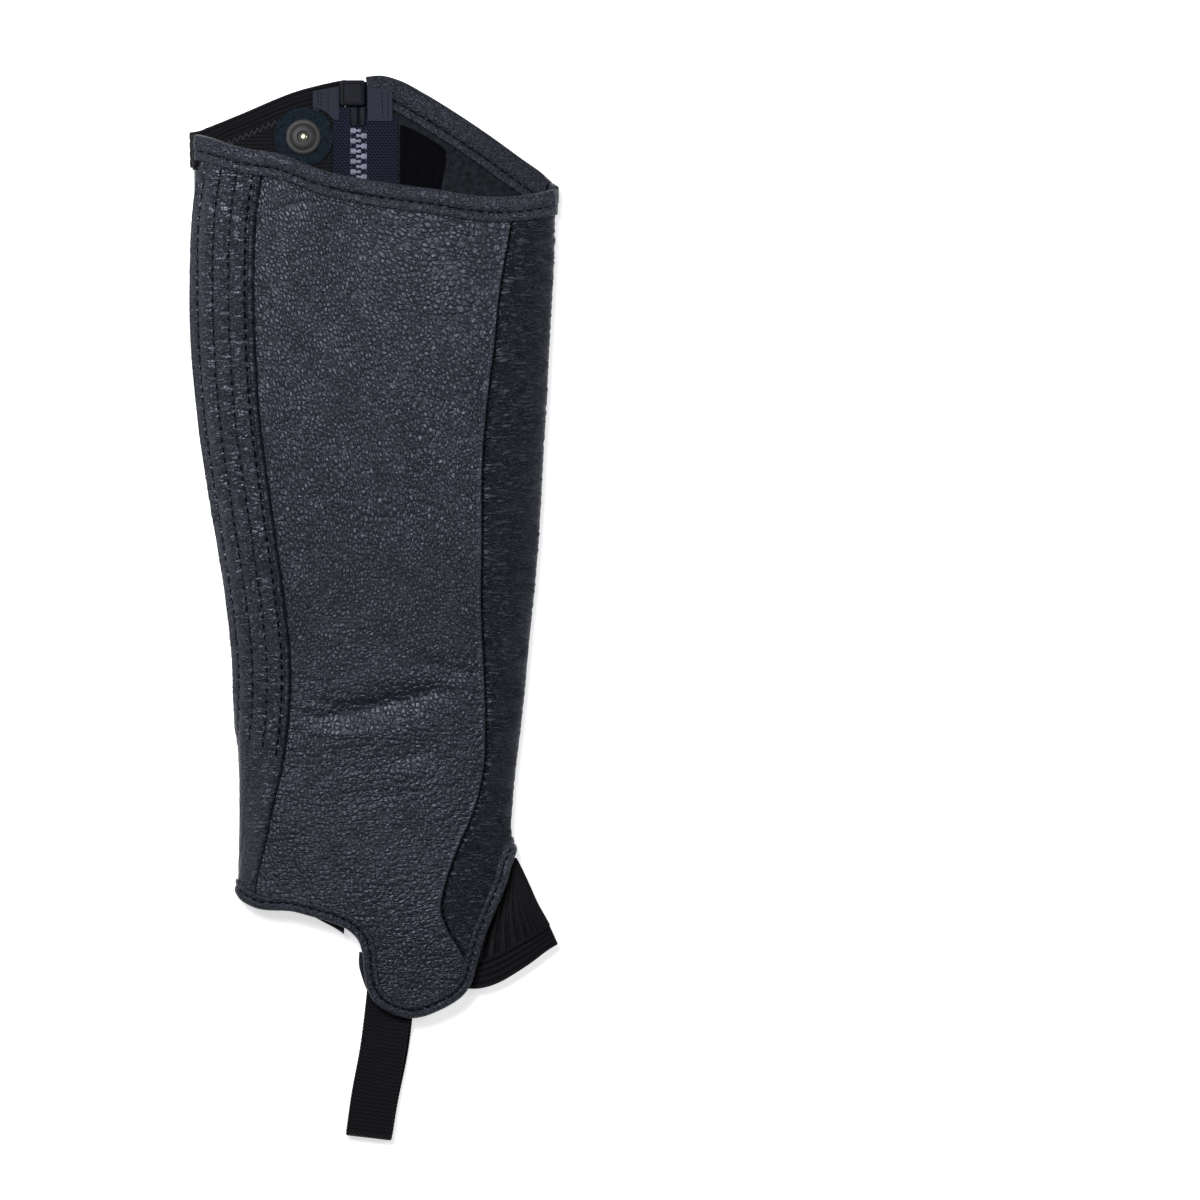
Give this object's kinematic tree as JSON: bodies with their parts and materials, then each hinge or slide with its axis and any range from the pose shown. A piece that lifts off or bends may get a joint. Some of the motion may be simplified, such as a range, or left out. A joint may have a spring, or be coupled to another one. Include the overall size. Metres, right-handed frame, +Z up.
{
  "type": "half chap",
  "caption": "Leather half chap for a rider's lower leg, laid flat: side zip, ribbed stretch strip, pleated elastic instep gusset and elastic foot strap",
  "frame": {"origin": "on the surface it lies on, under the middle of the piece", "axes": "+X to the shin fold, +Y up the leg to the mouth, +Z up from the surface it lies on"},
  "size_m": [0.1943, 0.5592, 0.019],
  "materials": {
    "leather": "pebbled, soft sheen",
    "edging": "smooth leather binding",
    "elastic": "ribbed stretch fabric",
    "tape": "woven tape",
    "teeth": "moulded",
    "hard": "moulded",
    "slider_metal": "satin black",
    "satin": "bonded patch",
    "guard": "smooth black patch",
    "patch": "suede patch",
    "metal": "dull turned ring"
  },
  "bodies": {
    "chap": {"centre_panel": "leather", "shin_panel": "leather", "stretch_strip": "leather", "outer_front_panel": "leather", "outer_back_panel": "elastic", "top_elastic": "elastic", "top_binding": "edging", "outer_top_binding": "edging", "hem_binding": "edging", "outer_hem_front": "edging", "outer_hem_back": "edging", "gusset": "elastic", "gusset_elastic": "elastic", "foot_strap": "elastic", "zip_tape_back": "tape", "zip_tape_front": "tape", "zip_chain": "teeth", "zip_pin_back": "hard", "zip_pin_front": "hard", "zip_box": "hard", "zip_slider": "slider_metal", "zip_patch_back": "satin", "zip_patch_front": "satin", "guard_patch": "guard", "snap_patch": "patch", "snap_ring": "metal"},
    "pull": {"zip_pull": "slider_metal"}
  },
  "joints": [
    {"name": "pull_hinge", "type": "hinge", "parent": "chap", "child": "pull", "pos_m": [-0.0083, -0.16, 0.00255], "axis": [-1, 0, 0], "range_deg": [0, 170]}
  ]
}
